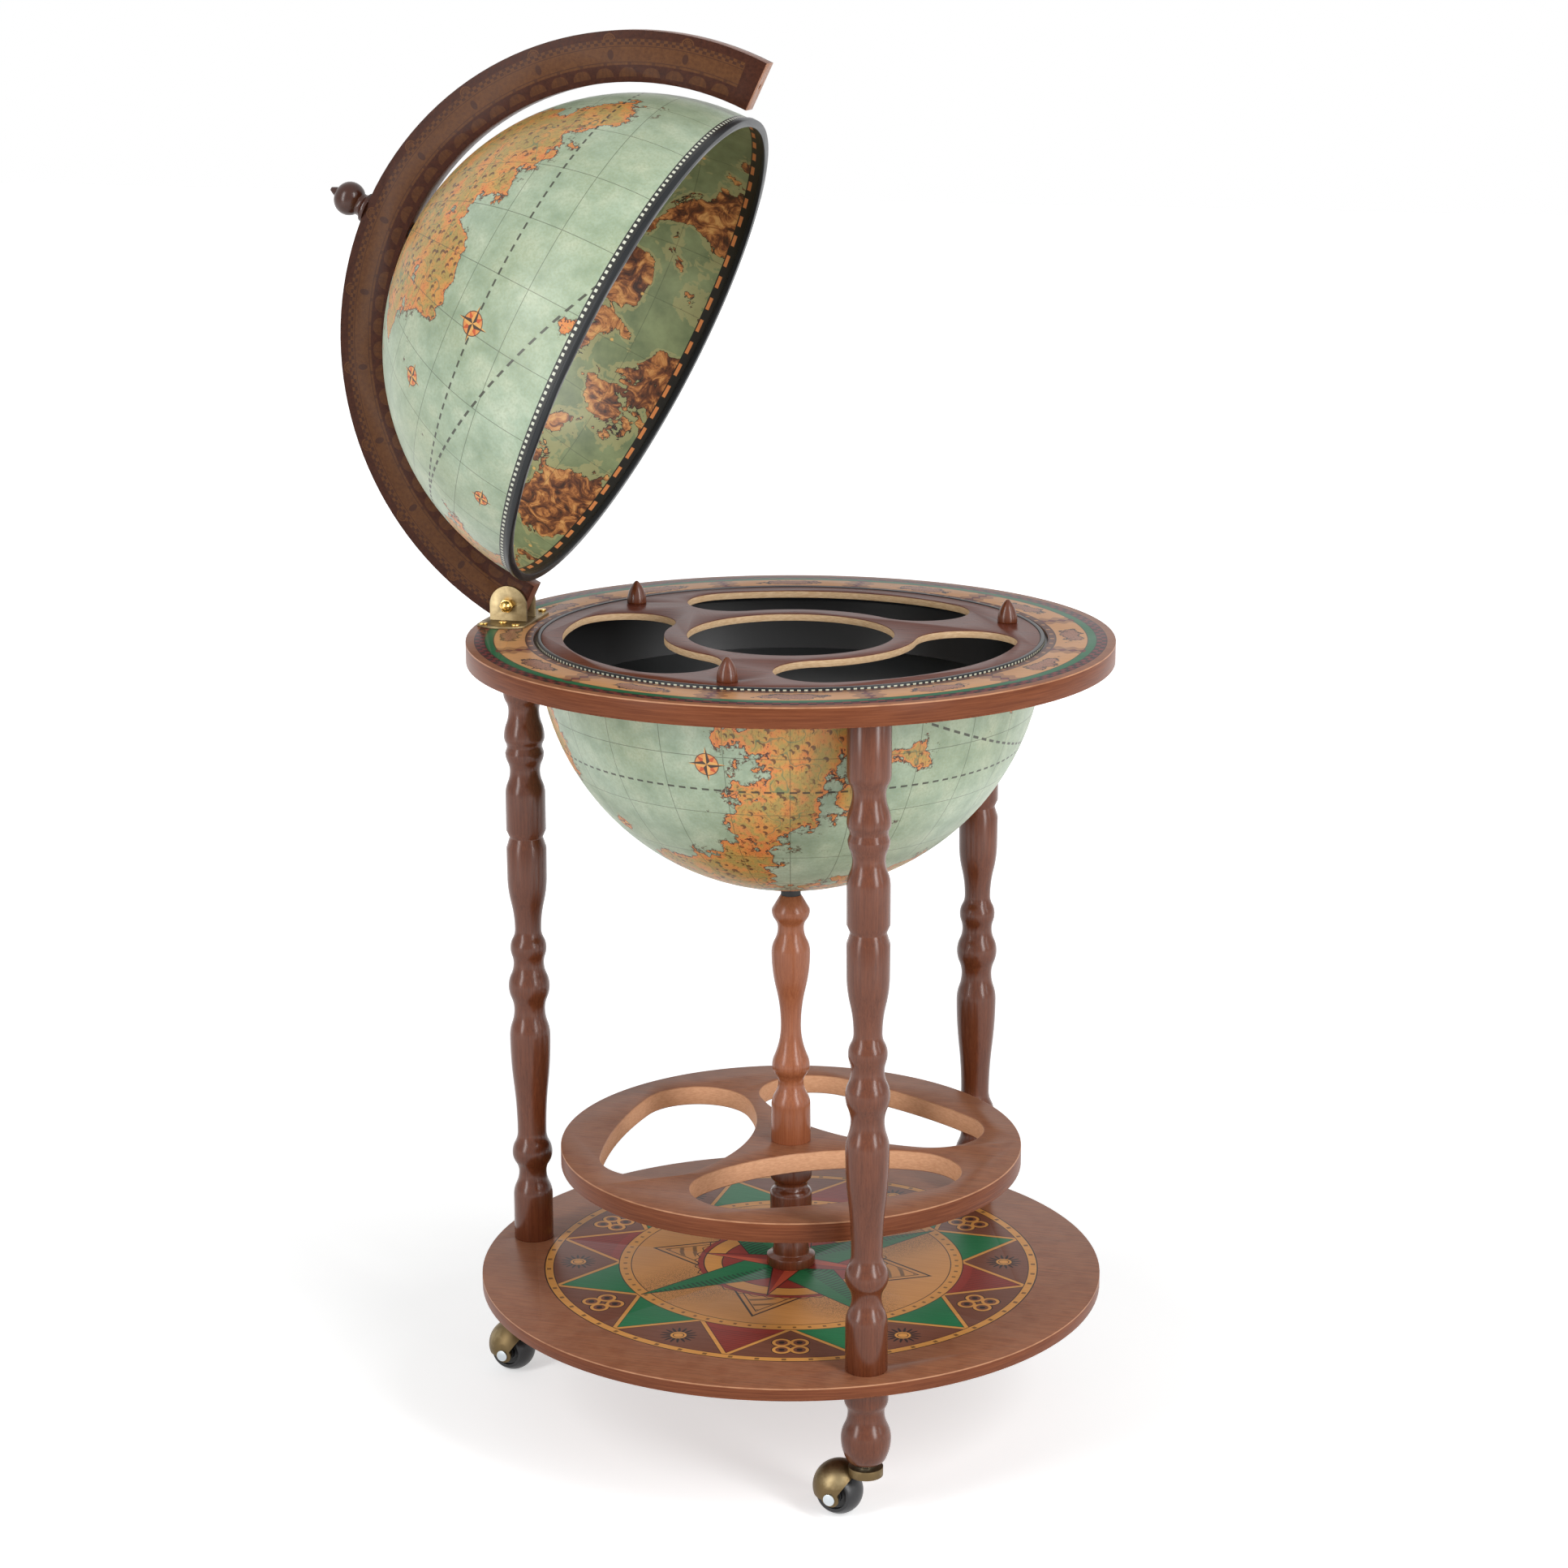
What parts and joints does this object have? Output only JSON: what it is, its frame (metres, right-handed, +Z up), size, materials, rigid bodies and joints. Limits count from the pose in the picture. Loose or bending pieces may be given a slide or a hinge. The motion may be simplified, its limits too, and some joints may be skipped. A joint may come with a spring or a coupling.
{
  "type": "globe bar",
  "caption": "Floor-standing globe bar: hinged upper half on an arch, glass rack in the lower half, horizon ring on turned legs, bottle shelf, base on casters.",
  "frame": {"origin": "on the floor, on the axis of the central column", "axes": "+Z up; the hinge of the lid and one leg at -X; the lid opens towards -X about an axis along +Y"},
  "size_m": [0.6342, 0.512, 1.1193],
  "materials": {
    "veneer": "satin red-brown veneer on board",
    "printed_veneer_ring": "satin printed paper on board",
    "printed_veneer_base": "satin printed paper on board",
    "printed_veneer_arch": "satin printed paper on board",
    "turned_wood": "gloss dark reddish-brown lacquer",
    "column_wood": "satin reddish-brown lacquer",
    "globe_print": "satin printed moulded plastic shell",
    "rack_board": "satin red-brown board with pale hole walls",
    "rim_black": "satin black",
    "black_rubber": "matt black",
    "antique_brass": "brushed antique brass",
    "polished_brass": "polished brass",
    "zinc_steel": "bright zinc-plated steel",
    "wheel_plastic": "semi-gloss black"
  },
  "bodies": {
    "frame": {"base_shelf": "printed_veneer_base", "bottle_shelf": "veneer", "horizon_ring": "printed_veneer_ring", "leg_left": "turned_wood", "leg_front": "turned_wood", "leg_back": "turned_wood", "foot_left": "turned_wood", "foot_front": "turned_wood", "foot_back": "turned_wood", "lower_column": "turned_wood", "upper_column": "column_wood", "peg_left": "turned_wood", "peg_right": "turned_wood", "peg_front": "turned_wood", "tie_rod": "zinc_steel", "rod_nuts": "zinc_steel", "leg_studs": "zinc_steel", "caster_sockets": "zinc_steel", "globe_seat": "black_rubber", "lower_hemisphere": "globe_print", "hemisphere_rim": "rim_black", "rack_floor": "rim_black", "glass_rack": "rack_board", "hinge_bracket": "antique_brass", "hinge_bolt": "polished_brass", "hinge_nut": "polished_brass", "bracket_screws": "polished_brass"},
    "lid_arm": {"meridian_arch": "printed_veneer_arch", "finial": "turned_wood", "pole_pin": "zinc_steel", "pole_spacer": "black_rubber", "pole_nut": "zinc_steel"},
    "dome": {"upper_hemisphere": "globe_print", "dome_rim": "rim_black"},
    "caster_left": {"caster_stem_left": "zinc_steel", "caster_hood_left": "antique_brass", "caster_axle_left": "zinc_steel"},
    "wheel_left": {"caster_wheel_left": "wheel_plastic"},
    "caster_front": {"caster_stem_front": "zinc_steel", "caster_hood_front": "antique_brass", "caster_axle_front": "zinc_steel"},
    "wheel_front": {"caster_wheel_front": "wheel_plastic"},
    "caster_back": {"caster_stem_back": "zinc_steel", "caster_hood_back": "antique_brass", "caster_axle_back": "zinc_steel"},
    "wheel_back": {"caster_wheel_back": "wheel_plastic"}
  },
  "joints": [
    {"name": "lid_hinge", "type": "hinge", "parent": "frame", "child": "lid_arm", "pos_m": [-0.232, 0, 0.6669], "axis": [0, 1, 0], "range_deg": [0, 64.4]},
    {"name": "dome_spin", "type": "hinge", "parent": "lid_arm", "child": "dome", "pos_m": [-0.12274, 0, 0.8718], "axis": [-0.9018, 0, 0.4321], "continuous": true},
    {"name": "caster_swivel_left", "type": "hinge", "parent": "frame", "child": "caster_left", "pos_m": [-0.2245, 0, 0.045], "axis": [0, 0, 1], "continuous": true},
    {"name": "wheel_spin_left", "type": "hinge", "parent": "caster_left", "child": "wheel_left", "pos_m": [-0.24619, 0.00367, 0.0185], "axis": [-0.1668, -0.986, 0], "continuous": true},
    {"name": "caster_swivel_front", "type": "hinge", "parent": "frame", "child": "caster_front", "pos_m": [0.11225, -0.19442, 0.045], "axis": [0, 0, 1], "continuous": true},
    {"name": "wheel_spin_front", "type": "hinge", "parent": "caster_front", "child": "wheel_front", "pos_m": [0.09056, -0.19075, 0.0185], "axis": [-0.1668, -0.986, 0], "continuous": true},
    {"name": "caster_swivel_back", "type": "hinge", "parent": "frame", "child": "caster_back", "pos_m": [0.11225, 0.19442, 0.045], "axis": [0, 0, 1], "continuous": true},
    {"name": "wheel_spin_back", "type": "hinge", "parent": "caster_back", "child": "wheel_back", "pos_m": [0.09056, 0.19809, 0.0185], "axis": [-0.1668, -0.986, 0], "continuous": true}
  ]
}
